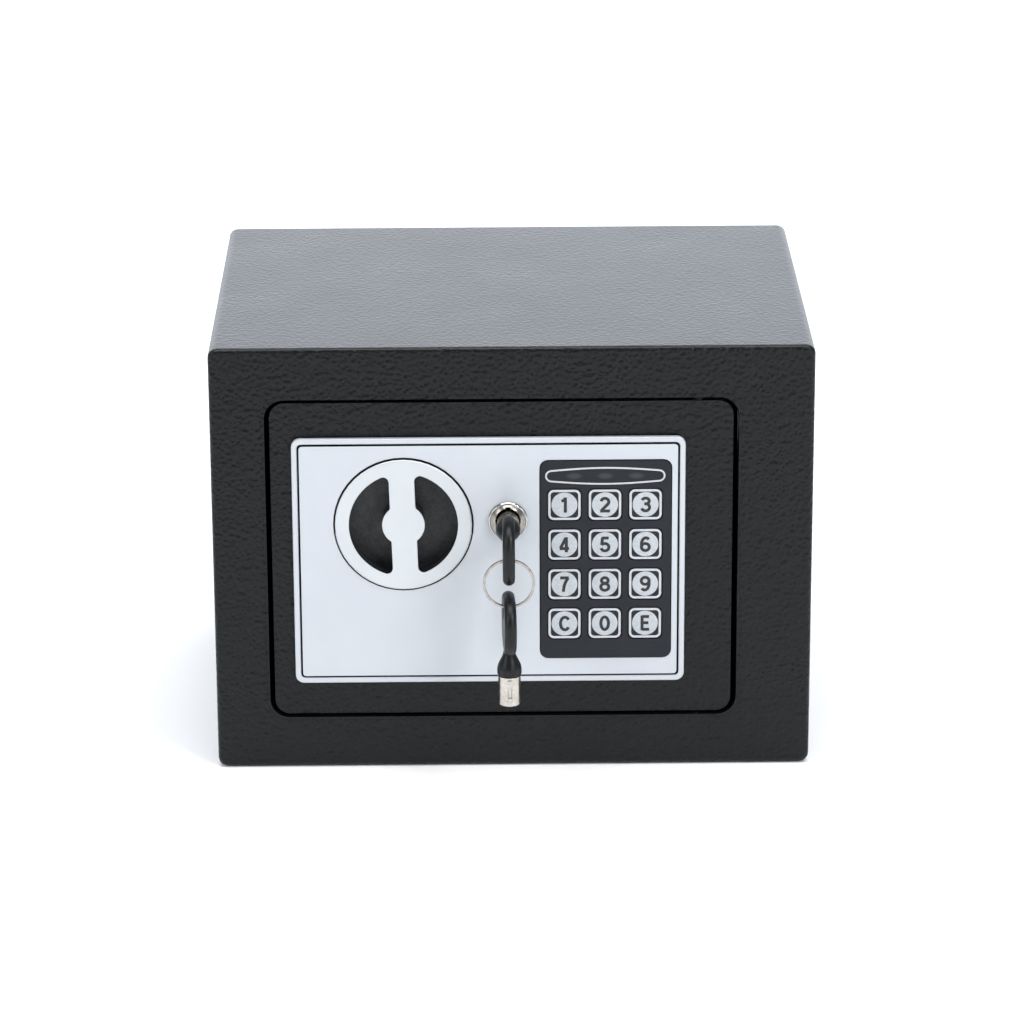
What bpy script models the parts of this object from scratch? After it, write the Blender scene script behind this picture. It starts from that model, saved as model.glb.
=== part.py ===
"""A compact electronic safe: steel cabinet, hinged door with a silver fascia, turning knob,
keypad, override lock with its two tubular keys, and the bolt work inside the door.

Metres, +Z up, front towards -Y, origin at the middle of the cabinet's underside."""

import math

import bmesh
import bpy
from mathutils import Matrix, Vector

# ---- driving dimensions ----
WIDTH, DEPTH, HEIGHT = 0.230, 0.170, 0.170
SHEET = 0.0015  # cabinet sheet
GAP = 0.0003  # between pieces that touch
FRONT = -DEPTH / 2
CABINET_RADIUS = 0.0035
FRONT_FOLD = 0.0018  # outer radius of the fold around the front

OPENING_X = (-0.0942, 0.0863)
OPENING_Z = (0.0206, 0.1497)
OPENING_RADIUS = 0.0075
LIP_DEPTH = 0.012

DOOR_X = (-0.0923, 0.0842)
DOOR_Z = (0.0216, 0.1480)
DOOR_RADIUS = 0.0057
DOOR_FRONT = FRONT + 0.0015
DOOR_THICK = 0.003
DOOR_BACK = DOOR_FRONT + DOOR_THICK

HINGE_X, HINGE_Y = 0.0712, -0.0775
PIN_RADIUS = 0.0018
PIVOT_HOLES = 0.14  # length of the cutter through both ends of the opening
PIN_REACH = 0.0062  # into the door, past the edge of the opening
PIN_HEAD_RADIUS, PIN_HEAD = 0.0035, 0.0015
BRACKET_X = (HINGE_X - 0.012, HINGE_X + 0.008)
BRACKET_Y = (-0.0832, -0.0700)
BRACKET_THICK = 0.002

TRAY_X = (-0.0880, 0.0800)
TRAY_Z = (0.0232, 0.1468)
TRAY_BACK = -0.0430
TRAY_FRONT = DOOR_BACK + GAP
TRAY_WALL = 0.0015

FAR = 0.1  # past the object's ends, for cutters that run out of it
BEHIND_DOOR = -0.06  # where cutters through the door's front end
DRILL = 0.02  # length of the cutters for small holes

FASCIA_X = (-0.08415, 0.0660)
FASCIA_Z = (0.0352, 0.1344)
FASCIA_FRONT = -0.0862
FASCIA_RIM = 0.0022  # width of the outer frame
FASCIA_GROOVE = 0.0007  # shadow gap between the frame and the faceplate
FASCIA_THICK = 0.0020

KNOB_X, KNOB_Z = -0.0417, 0.1000
KNOB_RADIUS = 0.02635
KNOB_WINDOW_RADIUS = 0.02085
KNOB_BAR = 0.0098
KNOB_HUB_RADIUS = 0.0082
WINDOW_CORNER = 0.0021
KNOB_TILT = math.radians(1.9)  # the bar leans a little to the left
KNOB_FRONT = -0.0872
KNOB_CAP_THICK = 0.0024
WELL_FLOOR = -0.0775
WELL_RADIUS = 0.0274
WELL_BORE = 0.0213

CRANK_RADIUS = 0.0099
CRANK_BACK = -0.0695
CRANK_THICK = 0.0025
SHAFT_RADIUS = 0.0035
CRANK_START = math.radians(45)  # from upright at rest, then a quarter turn
BOLT_THROW = 2 * CRANK_RADIUS * math.sin(CRANK_START)
BOLT_Y = -0.0650
BOLT_RADIUS = 0.0070
BOLT_ROWS = (0.056, 0.124)
BOLT_TIP = -0.0885  # drawn in
CRANK_PIN_RADIUS = 0.0020
GUIDE_POST = (-0.0300, 0.0700)  # x and z of the stud that the bolt carriage slides on
GUIDE_END = -0.0610
GUIDE_RADIUS = 0.0025
CARRIAGE_X = (-0.0620, -0.0220)
CARRIAGE_Z = (0.0460, 0.1340)
CARRIAGE_FLANGE = 0.0020
CARRIAGE_HALF_DEPTH = 0.0065
CARRIAGE_HALF_WEB = 0.0010
BOLT_STUD_RADIUS = 0.0030

PLUNGER_X = -0.0480
PLUNGER_RADIUS = 0.0025
SOLENOID_HALF = (0.0120, 0.0085)  # along x and y
SOLENOID_Z = (0.0262, 0.0400)
SOLENOID_WALL = 0.0015
COIL_RADIUS = 0.0080
NOTCH_DEPTH = 0.0055

LOCK_X, LOCK_Z = -0.00175, 0.1012
LOCK_BEZEL_RADIUS = 0.0076
LOCK_BODY_RADIUS = 0.0063
LOCK_BORE = 0.00485
LOCK_GROOVE = 0.0056
LOCK_FRONT = -0.0874
LOCK_LIP_BACK = -0.0845
LOCK_BACK = -0.0680
LOCK_POST_FRONT = -0.0853
LOCK_POST_RADIUS = 0.0026
LOCK_TAIL_RADIUS = 0.0030
LOCK_TAIL = 0.0030
LOCK_NUT_RADIUS = 0.0095
LOCK_NUT_THICK = 0.0030
CAM_HALF_WIDTH = 0.0050
CAM_REACH = (0.0150, 0.0055)  # below and above the lock's axis
CAM_THICK = 0.0015

KEY_LENGTH = 0.0440
KEY_BARREL = 0.0118
KEY_BELL = 0.0085
KEY_BARREL_RADIUS = 0.0043
KEY_BORE = 0.0031
KEY_BELL_RADIUS = 0.0047
KEY_NECK_RADIUS = 0.0025
KEY_BOW_HALF_WIDTH = 0.0132
KEY_BOW_POWER = 2.4  # of the rounded outline: 2 is an oval, more is squarer
KEY_THICK = 0.0047
KEY_HOLE = 0.0030  # radius
KEY_HOLE_ALONG = 0.0372  # from the end of the barrel
KEY_BARREL_END_Y = -0.0802
KEY_ENGAGED = 0.0072  # of the barrel, inside the lock
KEY_DROOP = math.radians(5.5)  # the inserted key sags under the spare, within its play
SPARE_YAW = math.radians(182.7)  # its lug faces the front, a little to the left

RING_RADIUS = 0.00935
RING_WIRE = 0.00050
RING_IN_HOLE = 0.0017  # of the wire, off the middle of the hole

KEYPAD_X = (0.0106, 0.0606)
KEYPAD_Z = (0.0451, 0.1252)
KEYPAD_FRONT = -0.0865
KEYPAD_THICK = 0.0026
BUTTON_COLUMNS = (0.0198, 0.0353, 0.0508)
BUTTON_ROWS = (0.1075, 0.0914, 0.0753, 0.0592)
BUTTON_NAMES = (("1", "2", "3"), ("4", "5", "6"), ("7", "8", "9"), ("clear", "0", "enter"))
BUTTON_SIZE = (0.0128, 0.0126)
LAMP_X = (0.0235, 0.0354, 0.0473)
LAMP_Z = 0.1191
LAMP_SIZE = (0.0062, 0.0021)

ANCHOR_X = 0.060
ANCHOR_RADIUS = 0.005
PANEL_Y = (0.0830, 0.0845)
MAT_Y = (-0.0710, 0.0820)
MAT_TOP = 0.0038

COVER_THICK = 0.0012
COVER_SCREWS_X = (-0.0820, 0.0740)
COVER_SCREWS_Z = (0.0292, 0.1408)
SCREW_RADIUS = 0.0012
SCREW_LENGTH = 0.0070
SCREW_HEAD_RADIUS = 0.0028
SCREW_HEAD = 0.0016
POST_HALF = 0.0050
POST_LENGTH = 0.010

RESET_X, RESET_Z = 0.0200, 0.1180
RESET_RADIUS = 0.0029

BATTERY_RADIUS = 0.0070
BATTERY_LENGTH = 0.0500
BATTERY_PITCH = 0.0148
BATTERY_X = 0.0365  # middle of the four
BATTERY_Z = 0.0620
BATTERY_Y = -0.0540
BATTERY_BOX_WALL = 0.0012
BATTERY_BOX_FRONT = -0.0630
BATTERY_BOX_HALF_HEIGHT = 0.0285
BATTERY_CAP_RADIUS = 0.0027
BATTERY_CAP = 0.0012
LID_THICK = 0.0022
LID_RIBS = 5

BOARD_X, BOARD_Y, BOARD_Z = (0.0120, 0.0760), -0.0640, (0.0960, 0.1400)
BOARD_THICK = 0.0016


# ---- scene, collections and materials ----
def start_scene():
    for obj in list(bpy.data.objects):
        bpy.data.objects.remove(obj)
    made = []
    for name in ("electronic_safe", "cutters"):
        collection = bpy.data.collections.new(name)
        bpy.context.scene.collection.children.link(collection)
        made.append(collection)
    return made


PARTS, CUTTERS = start_scene()


def material(name, colour, roughness, metallic):
    made = bpy.data.materials.new(name)
    made.use_nodes = True
    shader = made.node_tree.nodes["Principled BSDF"]
    shader.inputs["Base Color"].default_value = (*colour, 1)
    shader.inputs["Roughness"].default_value = roughness
    shader.inputs["Metallic"].default_value = metallic
    return made


LOOKS = {
    "powder": material("powder_coat", (0.035, 0.037, 0.042), 0.55, 0.0),
    "silver": material("silver_plastic", (0.72, 0.73, 0.75), 0.35, 0.2),
    "black": material("black_plastic", (0.012, 0.012, 0.013), 0.45, 0.0),
    "chrome": material("chrome", (0.85, 0.85, 0.86), 0.08, 1.0),
    "steel": material("zinc_steel", (0.55, 0.56, 0.57), 0.35, 1.0),
    "brass": material("brass", (0.70, 0.52, 0.25), 0.30, 1.0),
    "board": material("circuit_board", (0.02, 0.16, 0.07), 0.45, 0.0),
    "keypad": material("keypad", (0.035, 0.040, 0.050), 0.45, 0.0),
    "felt": material("felt", (0.05, 0.05, 0.055), 0.95, 0.0),
    "copper": material("copper", (0.65, 0.30, 0.16), 0.35, 1.0),
    "battery": material("battery_sleeve", (0.10, 0.11, 0.13), 0.40, 0.3),
    "lamp": material("lamp_lens", (0.25, 0.26, 0.28), 0.20, 0.0),
    "red": material("red_plastic", (0.50, 0.03, 0.03), 0.40, 0.0),
}


# ---- modelling helpers ----
def add_object(name, mesh, look=None):
    """A part with its look, or a cutter where there is no look."""
    obj = bpy.data.objects.new(name, mesh)
    if look is None:
        CUTTERS.objects.link(obj)
        obj.hide_render = True
        obj.display_type = "WIRE"
    else:
        PARTS.objects.link(obj)
        mesh.materials.append(LOOKS[look])
    return obj


def mesh_from(name, bm, smooth=False):
    bmesh.ops.recalc_face_normals(bm, faces=bm.faces)
    mesh = bpy.data.meshes.new(name)
    bm.to_mesh(mesh)
    bm.free()
    if smooth:
        mesh.shade_smooth()
        mesh.set_sharp_from_angle(angle=math.radians(35))
    return mesh


def box(name, x, y, z, look=None, radius=0.0, along="Y", segments=5):
    """A block between the given limits, with its edges along one axis rounded."""
    bm = bmesh.new()
    bmesh.ops.create_cube(bm, size=1.0)
    size = Vector((x[1] - x[0], y[1] - y[0], z[1] - z[0]))
    bmesh.ops.scale(bm, vec=size, verts=bm.verts)
    if radius:
        axis = "XYZ".index(along)
        edges = [e for e in bm.edges if abs((e.verts[0].co - e.verts[1].co)[axis]) > size[axis] / 2]
        bmesh.ops.bevel(
            bm, geom=edges, offset=radius, segments=segments, affect="EDGES", profile=0.5
        )
    obj = add_object(name, mesh_from(name, bm, smooth=bool(radius)), look)
    obj.location = ((x[0] + x[1]) / 2, (y[0] + y[1]) / 2, (z[0] + z[1]) / 2)
    return obj


TURNS = {
    "X": Matrix.Rotation(math.pi / 2, 4, "Y"),
    "Y": Matrix.Rotation(-math.pi / 2, 4, "X"),
    "Z": Matrix.Identity(4),
}


def rod(name, centre, along, radius, length, look=None, sides=28):
    """A cylinder centred on a point, along one axis."""
    bm = bmesh.new()
    bmesh.ops.create_cone(
        bm, cap_ends=True, segments=sides, radius1=radius, radius2=radius, depth=length,
        matrix=TURNS[along],
    )
    obj = add_object(name, mesh_from(name, bm, smooth=True), look)
    obj.location = centre
    return obj


def turned(name, profile, centre, look=None, steps=32, along="Y"):
    """A closed profile of (radius, distance along the axis), turned about the axis."""
    bm = bmesh.new()
    verts = [bm.verts.new((r, 0, h)) for r, h in profile]
    for first, second in zip(verts, verts[1:] + verts[:1]):
        bm.edges.new((first, second))
    mesh = bpy.data.meshes.new(name)
    bm.to_mesh(mesh)
    bm.free()
    blank = bpy.data.objects.new(name + "_profile", mesh)
    CUTTERS.objects.link(blank)
    screw = blank.modifiers.new("turn", "SCREW")
    screw.steps = screw.render_steps = steps
    screw.use_merge_vertices = True
    screw.merge_threshold = 1e-5
    bpy.context.view_layer.update()
    evaluated = blank.evaluated_get(bpy.context.evaluated_depsgraph_get())
    bm = bmesh.new()
    bm.from_mesh(evaluated.to_mesh())
    bpy.data.objects.remove(blank)
    bmesh.ops.remove_doubles(bm, verts=bm.verts, dist=1e-6)
    bmesh.ops.dissolve_degenerate(bm, dist=1e-7, edges=bm.edges)
    bm.transform(TURNS[along])
    obj = add_object(name, mesh_from(name, bm, smooth=True), look)
    obj.location = centre
    return obj


def combine(obj, other, operation):
    modifier = obj.modifiers.new(other.name, "BOOLEAN")
    modifier.operation = operation
    modifier.object = other
    modifier.solver = "EXACT"
    return obj


def cut(obj, *cutters):
    for cutter in cutters:
        combine(obj, cutter, "DIFFERENCE")
    return obj


def join(obj, *others):
    for other in others:
        combine(obj, other, "UNION")
    return obj


def round_front(mesh, radius):
    """Rounds the edges around a block's front face."""
    bm = bmesh.new()
    bm.from_mesh(mesh)
    front = min(v.co.y for v in bm.verts) + 1e-6
    edges = [e for e in bm.edges if all(v.co.y < front for v in e.verts)]
    bmesh.ops.bevel(bm, geom=edges, offset=radius, segments=3, affect="EDGES", profile=0.5)
    bmesh.ops.recalc_face_normals(bm, faces=bm.faces)
    bm.to_mesh(mesh)
    bm.free()
    mesh.shade_smooth()
    mesh.set_sharp_from_angle(angle=math.radians(35))


def grow(limits, by):
    return (limits[0] - by, limits[1] + by)


# ---- cabinet ----
def cabinet_shell():
    shell = box(
        "cabinet_shell", (-WIDTH / 2, WIDTH / 2), (FRONT, -FRONT), (0, HEIGHT), "powder",
        CABINET_RADIUS, "Y", 4,
    )
    round_front(shell.data, FRONT_FOLD)
    hollow = box(
        "cabinet_hollow", grow((-WIDTH / 2, WIDTH / 2), -SHEET), (FRONT + SHEET, FAR),
        grow((0, HEIGHT), -SHEET), None, CABINET_RADIUS - SHEET, "Y", 3,
    )
    lip = box(
        "opening_lip", grow(OPENING_X, SHEET), (FRONT + SHEET / 2, FRONT + LIP_DEPTH),
        grow(OPENING_Z, SHEET), None, OPENING_RADIUS + SHEET, "Y", 6,
    )
    opening = box(
        "door_opening", OPENING_X, (-FAR, BEHIND_DOOR), OPENING_Z, None, OPENING_RADIUS, "Y", 6
    )
    cut(shell, hollow)
    join(shell, lip)
    cut(shell, opening)
    for side in (-1, 1):
        where = f"floor_anchor_{side}"
        cut(shell, rod(where, (side * ANCHOR_X, 0, 0), "Z", ANCHOR_RADIUS, DRILL, sides=20))
    pivot = (HINGE_X, HINGE_Y, HEIGHT / 2)
    cut(shell, rod("pivot_holes", pivot, "Z", PIN_RADIUS + GAP, PIVOT_HOLES, sides=16))


def rear_panel():
    panel = box(
        "rear_panel", grow((-WIDTH / 2, WIDTH / 2), -SHEET - GAP), PANEL_Y,
        grow((0, HEIGHT), -SHEET - GAP), "powder", CABINET_RADIUS - SHEET, "Y", 3,
    )
    for side in (-1, 1):
        centre = (side * ANCHOR_X, -FRONT, HEIGHT / 2)
        cut(panel, rod(f"rear_anchor_{side}", centre, "Y", ANCHOR_RADIUS, DRILL, sides=20))


def floor_mat():
    mat = box(
        "floor_mat", grow((-WIDTH / 2, WIDTH / 2), -SHEET - 0.001), MAT_Y, (SHEET + GAP, MAT_TOP),
        "felt", 0.003, "Z", 3,
    )
    for side in (-1, 1):
        where = f"mat_hole_{side}"
        cut(mat, rod(where, (side * ANCHOR_X, 0, 0), "Z", ANCHOR_RADIUS + 0.001, DRILL, sides=20))


def hinge_hardware():
    """A bracket behind the lip at each end of the hinge, with the pivot pin that it carries."""
    for name, edge, outward in (("upper", OPENING_Z[1], 1), ("lower", OPENING_Z[0], -1)):
        near = edge + outward * (SHEET + GAP)
        far = near + outward * BRACKET_THICK
        bracket = box(
            f"{name}_hinge_bracket", BRACKET_X, BRACKET_Y, tuple(sorted((near, far))), "steel",
            0.002, "Z", 3,
        )
        pivot = (HINGE_X, HINGE_Y, edge)
        cut(bracket, rod(f"{name}_bracket_hole", pivot, "Z", PIN_RADIUS + GAP, DRILL, sides=16))
        head = outward * (SHEET + BRACKET_THICK + 2 * GAP)
        tip = -outward * PIN_REACH
        top = head + outward * PIN_HEAD
        chamfer = 0.0004
        turned(
            f"{name}_pivot_pin",
            (
                (0, tip), (PIN_RADIUS - chamfer, tip), (PIN_RADIUS, tip + outward * chamfer),
                (PIN_RADIUS, head), (PIN_HEAD_RADIUS, head), (PIN_HEAD_RADIUS, top), (0, top),
            ),
            pivot, "steel", 20, "Z",
        )


# ---- door ----
def door_plate():
    plate = box(
        "door_plate", DOOR_X, (DOOR_FRONT, DOOR_BACK), DOOR_Z, "powder", DOOR_RADIUS, "Y", 6
    )
    ledge = -0.0020
    cut(
        plate,
        rod("well_hole", (KNOB_X, DOOR_FRONT, KNOB_Z), "Y", WELL_RADIUS + 0.0005, DRILL, sides=40),
        rod("lock_hole", (LOCK_X, DOOR_FRONT, LOCK_Z), "Y", LOCK_BODY_RADIUS + GAP, DRILL),
        box("keypad_hole", grow(KEYPAD_X, ledge), (-FAR, BEHIND_DOOR), grow(KEYPAD_Z, ledge)),
    )
    post_x, post_z = GUIDE_POST
    root = (DOOR_FRONT + DOOR_BACK) / 2
    join(plate, rod(
        "guide_stud", (post_x, (root + GUIDE_END) / 2, post_z), "Y", GUIDE_RADIUS,
        GUIDE_END - root, sides=20,
    ))


def mechanism_tray():
    """The folded box behind the door plate: its walls carry the bolts and the pivots."""
    tray = box("mechanism_tray", TRAY_X, (TRAY_FRONT, TRAY_BACK), TRAY_Z, "powder", 0.003)
    inside = (-FAR, FAR)
    cut(tray, box("tray_hollow", grow(TRAY_X, -TRAY_WALL), inside, grow(TRAY_Z, -TRAY_WALL)))
    for x in COVER_SCREWS_X:
        for z in COVER_SCREWS_Z:
            post = box(
                f"post_{x}_{z}", grow((x, x), POST_HALF), (TRAY_BACK - POST_LENGTH, TRAY_BACK),
                grow((z, z), POST_HALF),
            )
            join(tray, post)
            cut(tray, rod(
                f"post_hole_{x}_{z}", (x, TRAY_BACK, z), "Y", SCREW_RADIUS + GAP, 0.016, sides=12
            ))
    for row, z in enumerate(BOLT_ROWS):
        centre = (TRAY_X[0], BOLT_Y, z)
        cut(tray, rod(f"bolt_hole_{row}", centre, "X", BOLT_RADIUS + 0.0004, DRILL, sides=32))
    middle = (HINGE_X, HINGE_Y, HEIGHT / 2)
    cut(tray, rod("tray_pivot_holes", middle, "Z", PIN_RADIUS + GAP, HEIGHT, sides=16))


def inner_cover():
    cover = box(
        "inner_cover", TRAY_X, (TRAY_BACK + GAP, TRAY_BACK + GAP + COVER_THICK), TRAY_Z, "powder",
        0.003,
    )
    for x in COVER_SCREWS_X:
        for z in COVER_SCREWS_Z:
            cut(cover, rod(
                f"cover_hole_{x}_{z}", (x, TRAY_BACK, z), "Y", SCREW_RADIUS + 0.0006, DRILL, sides=12
            ))
    box_x, box_z = battery_box_limits()
    around = (BEHIND_DOOR, FAR)
    cut(
        cover,
        box("battery_window", grow(box_x, 0.0004), around, grow(box_z, 0.0005)),
        rod("reset_hole", (RESET_X, TRAY_BACK, RESET_Z), "Y", RESET_RADIUS + 0.0005, DRILL,
            sides=20),
    )


def cover_screws():
    number = 0
    for z in COVER_SCREWS_Z:
        for x in COVER_SCREWS_X:
            number += 1
            seat = TRAY_BACK + COVER_THICK + 2 * GAP
            tip, top = seat - SCREW_LENGTH, seat + SCREW_HEAD
            screw = turned(
                f"cover_screw_{number}",
                (
                    (0, tip), (SCREW_RADIUS, tip), (SCREW_RADIUS, seat),
                    (SCREW_HEAD_RADIUS, seat), (SCREW_HEAD_RADIUS, seat + SCREW_HEAD / 2),
                    (SCREW_HEAD_RADIUS - 0.0010, top), (0, top),
                ),
                (x, 0, z), "steel", 16,
            )
            arm, slot = 0.0015, 0.0003
            for turn, (wide, high) in enumerate(((arm, slot), (slot, arm))):
                cut(screw, box(
                    f"screw_cross_{number}_{turn}", grow((x, x), wide),
                    (top - 0.0010, top + 0.01), grow((z, z), high),
                ))


# ---- fascia ----
def fascia():
    frame = box(
        "fascia_frame", FASCIA_X, (FASCIA_FRONT, DOOR_FRONT - GAP), FASCIA_Z, "silver", 0.0033
    )
    cut(frame, box(
        "frame_window", grow(FASCIA_X, -FASCIA_RIM), (-FAR, BEHIND_DOOR),
        grow(FASCIA_Z, -FASCIA_RIM), None, 0.0015, "Y", 3,
    ))
    inset = -FASCIA_RIM - FASCIA_GROOVE
    back = FASCIA_FRONT + FASCIA_THICK
    face = box(
        "fascia_plate", grow(FASCIA_X, inset), (FASCIA_FRONT, back), grow(FASCIA_Z, inset),
        "silver", 0.0012, "Y", 3,
    )
    cut(
        face,
        rod("knob_hole", (KNOB_X, FASCIA_FRONT, KNOB_Z), "Y", KNOB_RADIUS + 0.0005, DRILL,
            sides=48),
        rod("bezel_hole", (LOCK_X, FASCIA_FRONT, LOCK_Z), "Y", LOCK_BODY_RADIUS + GAP, DRILL),
        box("pad_hole", grow(KEYPAD_X, GAP), (-FAR, BEHIND_DOOR), grow(KEYPAD_Z, GAP), None,
            0.0033, "Y", 4),
    )


def knob_well():
    """The black cup that the knob turns in, let in through the door plate."""
    front = FASCIA_FRONT + FASCIA_THICK + GAP
    back = WELL_FLOOR + 0.0015
    shaft_hole = SHAFT_RADIUS + 0.0005
    turned(
        "knob_well",
        (
            (shaft_hole, back), (WELL_RADIUS, back), (WELL_RADIUS, front), (WELL_BORE, front),
            (WELL_BORE, WELL_FLOOR), (shaft_hole, WELL_FLOOR),
        ),
        (KNOB_X, 0, KNOB_Z), "black", 40,
    )


def keypad():
    """The keypad frame with its twelve buttons, three lamps and the switch board behind."""
    back = KEYPAD_FRONT + KEYPAD_THICK
    frame = box("keypad_frame", KEYPAD_X, (KEYPAD_FRONT, back), KEYPAD_Z, "keypad", 0.0030, "Y", 4)
    wide, high = (side / 2 for side in BUTTON_SIZE)
    for z, names in zip(BUTTON_ROWS, BUTTON_NAMES):
        for x, name in zip(BUTTON_COLUMNS, names):
            hole = box(
                f"hole_{name}", grow((x, x), wide + GAP), (-FAR, BEHIND_DOOR),
                grow((z, z), high + GAP), None, 0.0023, "Y", 3,
            )
            cut(frame, hole)
            box(
                f"button_{name}", grow((x, x), wide), (KEYPAD_FRONT, back + 0.0002),
                grow((z, z), high), "keypad", 0.0020, "Y", 3,
            )
    for x, name in zip(LAMP_X, ("left", "middle", "right")):
        half = LAMP_SIZE[0] / 2
        tall = LAMP_SIZE[1] / 2
        hole = box(
            f"lamp_hole_{name}", grow((x, x), half + GAP), (-FAR, BEHIND_DOOR),
            grow((LAMP_Z, LAMP_Z), tall + GAP), None, tall, "Y", 3,
        )
        cut(frame, hole)
        box(
            f"lamp_{name}", grow((x, x), half), (KEYPAD_FRONT, back), grow((LAMP_Z, LAMP_Z), tall),
            "lamp", tall * 0.95, "Y", 3,
        )
    board_front = back + 0.0012
    box(
        "keypad_board", grow(KEYPAD_X, -0.0025), (board_front, board_front + 0.0012),
        grow(KEYPAD_Z, -0.0025), "board",
    )


# ---- knob and bolt work ----
def window_mesh(side):
    """A prism through the cap, bounded by the bar, the ring and the hub, its outer corners rounded."""
    half = KNOB_BAR / 2
    corner_x = half + WINDOW_CORNER
    corner_z = math.sqrt((KNOB_WINDOW_RADIUS - WINDOW_CORNER) ** 2 - corner_x**2)
    tangent = math.atan2(corner_z, corner_x)
    corner = [
        (corner_x + WINDOW_CORNER * math.cos(angle), corner_z + WINDOW_CORNER * math.sin(angle))
        for angle in (math.pi + (tangent - math.pi) * i / 5 for i in range(5))
    ]
    ring = [
        (KNOB_WINDOW_RADIUS * math.cos(angle), KNOB_WINDOW_RADIUS * math.sin(angle))
        for angle in (tangent * (1 - i / 11) for i in range(23))
    ]
    near = math.acos(half / KNOB_HUB_RADIUS)
    hub = [
        (KNOB_HUB_RADIUS * math.cos(angle), KNOB_HUB_RADIUS * math.sin(angle))
        for angle in (near * (i / 5 - 1) for i in range(11))
    ]
    outline = corner + ring + [(x, -z) for x, z in reversed(corner)] + hub
    bm = bmesh.new()
    face = bm.faces.new([bm.verts.new((side * x, -DRILL / 2, z)) for x, z in outline])
    made = bmesh.ops.extrude_face_region(bm, geom=[face])
    moved = [v for v in made["geom"] if isinstance(v, bmesh.types.BMVert)]
    bmesh.ops.translate(bm, vec=(0, DRILL, 0), verts=moved)
    return mesh_from("window", bm)


def crank_pin_at_rest():
    """Where the crank's pin stands, as x and z."""
    return (
        KNOB_X + CRANK_RADIUS * math.sin(CRANK_START),
        KNOB_Z + CRANK_RADIUS * math.cos(CRANK_START),
    )


def knob():
    back = KNOB_FRONT + KNOB_CAP_THICK
    axis = (KNOB_X, 0, KNOB_Z)
    cap = turned(
        "knob_cap",
        (
            (0, back), (KNOB_RADIUS, back), (KNOB_RADIUS, KNOB_FRONT + 0.0009),
            (KNOB_RADIUS - 0.0003, KNOB_FRONT + 0.0003), (KNOB_RADIUS - 0.0009, KNOB_FRONT),
            (0, KNOB_FRONT),
        ),
        axis, "silver", 48,
    )
    for side in (-1, 1):
        window = add_object(f"window_{side}", window_mesh(side))
        window.location = (KNOB_X, KNOB_FRONT, KNOB_Z)
        window.rotation_euler = (0, -KNOB_TILT, 0)
        cut(cap, window)
    core = rod(
        "knob_core", (KNOB_X, (back + WELL_FLOOR) / 2, KNOB_Z), "Y", KNOB_HUB_RADIUS - 0.0003,
        WELL_FLOOR - back - 2 * GAP, "black", 32,
    )
    web = box(
        "knob_web", grow((0, 0), KNOB_BAR / 2 - 0.0004), (back + 2 * GAP, WELL_FLOOR - 0.0010),
        grow((0, 0), KNOB_WINDOW_RADIUS - 0.0002),
    )
    web.location = (KNOB_X, web.location.y, KNOB_Z)
    web.rotation_euler = (0, -KNOB_TILT, 0)
    join(core, web)
    crank_front = CRANK_BACK - CRANK_THICK
    shaft = turned(
        "knob_shaft",
        (
            (0, WELL_FLOOR), (SHAFT_RADIUS, WELL_FLOOR), (SHAFT_RADIUS, crank_front),
            (2 * SHAFT_RADIUS, crank_front), (2 * SHAFT_RADIUS, CRANK_BACK), (0, CRANK_BACK),
        ),
        axis, "steel", 24,
    )
    pin_x, pin_z = crank_pin_at_rest()
    arm = box(
        "crank_arm", grow((0, 0), 0.0045), grow((0, 0), CRANK_THICK / 2),
        grow((0, 0), CRANK_RADIUS / 2 + 0.0035), None, 0.0040, "Y", 4,
    )
    arm.location = ((KNOB_X + pin_x) / 2, CRANK_BACK - CRANK_THICK / 2, (KNOB_Z + pin_z) / 2)
    arm.rotation_euler = (0, CRANK_START, 0)
    crank_pin = rod(
        "crank_pin", (pin_x, (CRANK_BACK + BOLT_Y) / 2, pin_z), "Y", CRANK_PIN_RADIUS,
        BOLT_Y - CRANK_BACK + 0.005, sides=16,
    )
    join(shaft, arm, crank_pin)


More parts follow.
